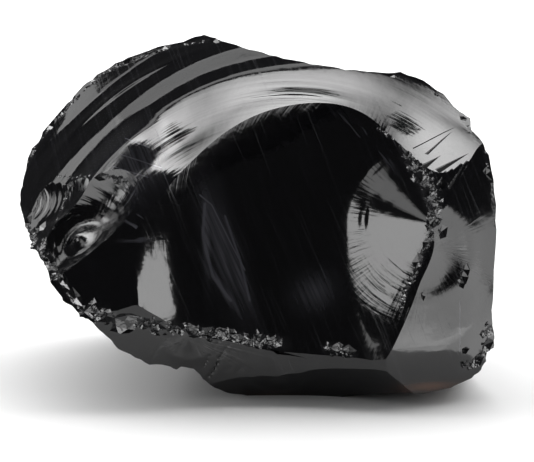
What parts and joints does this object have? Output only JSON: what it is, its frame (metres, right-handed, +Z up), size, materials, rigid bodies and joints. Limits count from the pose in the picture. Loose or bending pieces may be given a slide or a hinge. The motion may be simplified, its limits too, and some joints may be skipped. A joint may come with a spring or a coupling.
{
  "type": "obsidian chunk",
  "caption": "Rough fist-sized chunk of black volcanic glass with rippled shell-shaped fractures and crushed edges, resting on a flat base.",
  "frame": {"origin": "on the floor under the middle of the front drawing; the stone rests on the plane Z = 0", "axes": "+Z up, -Y towards the large central scar, +X along the length, towards the end with the plain facet"},
  "size_m": [0.1214, 0.0724, 0.0831],
  "materials": {
    "obsidian": "polished"
  },
  "bodies": {
    "root": {"obsidian_chunk": "obsidian"}
  },
  "joints": []
}
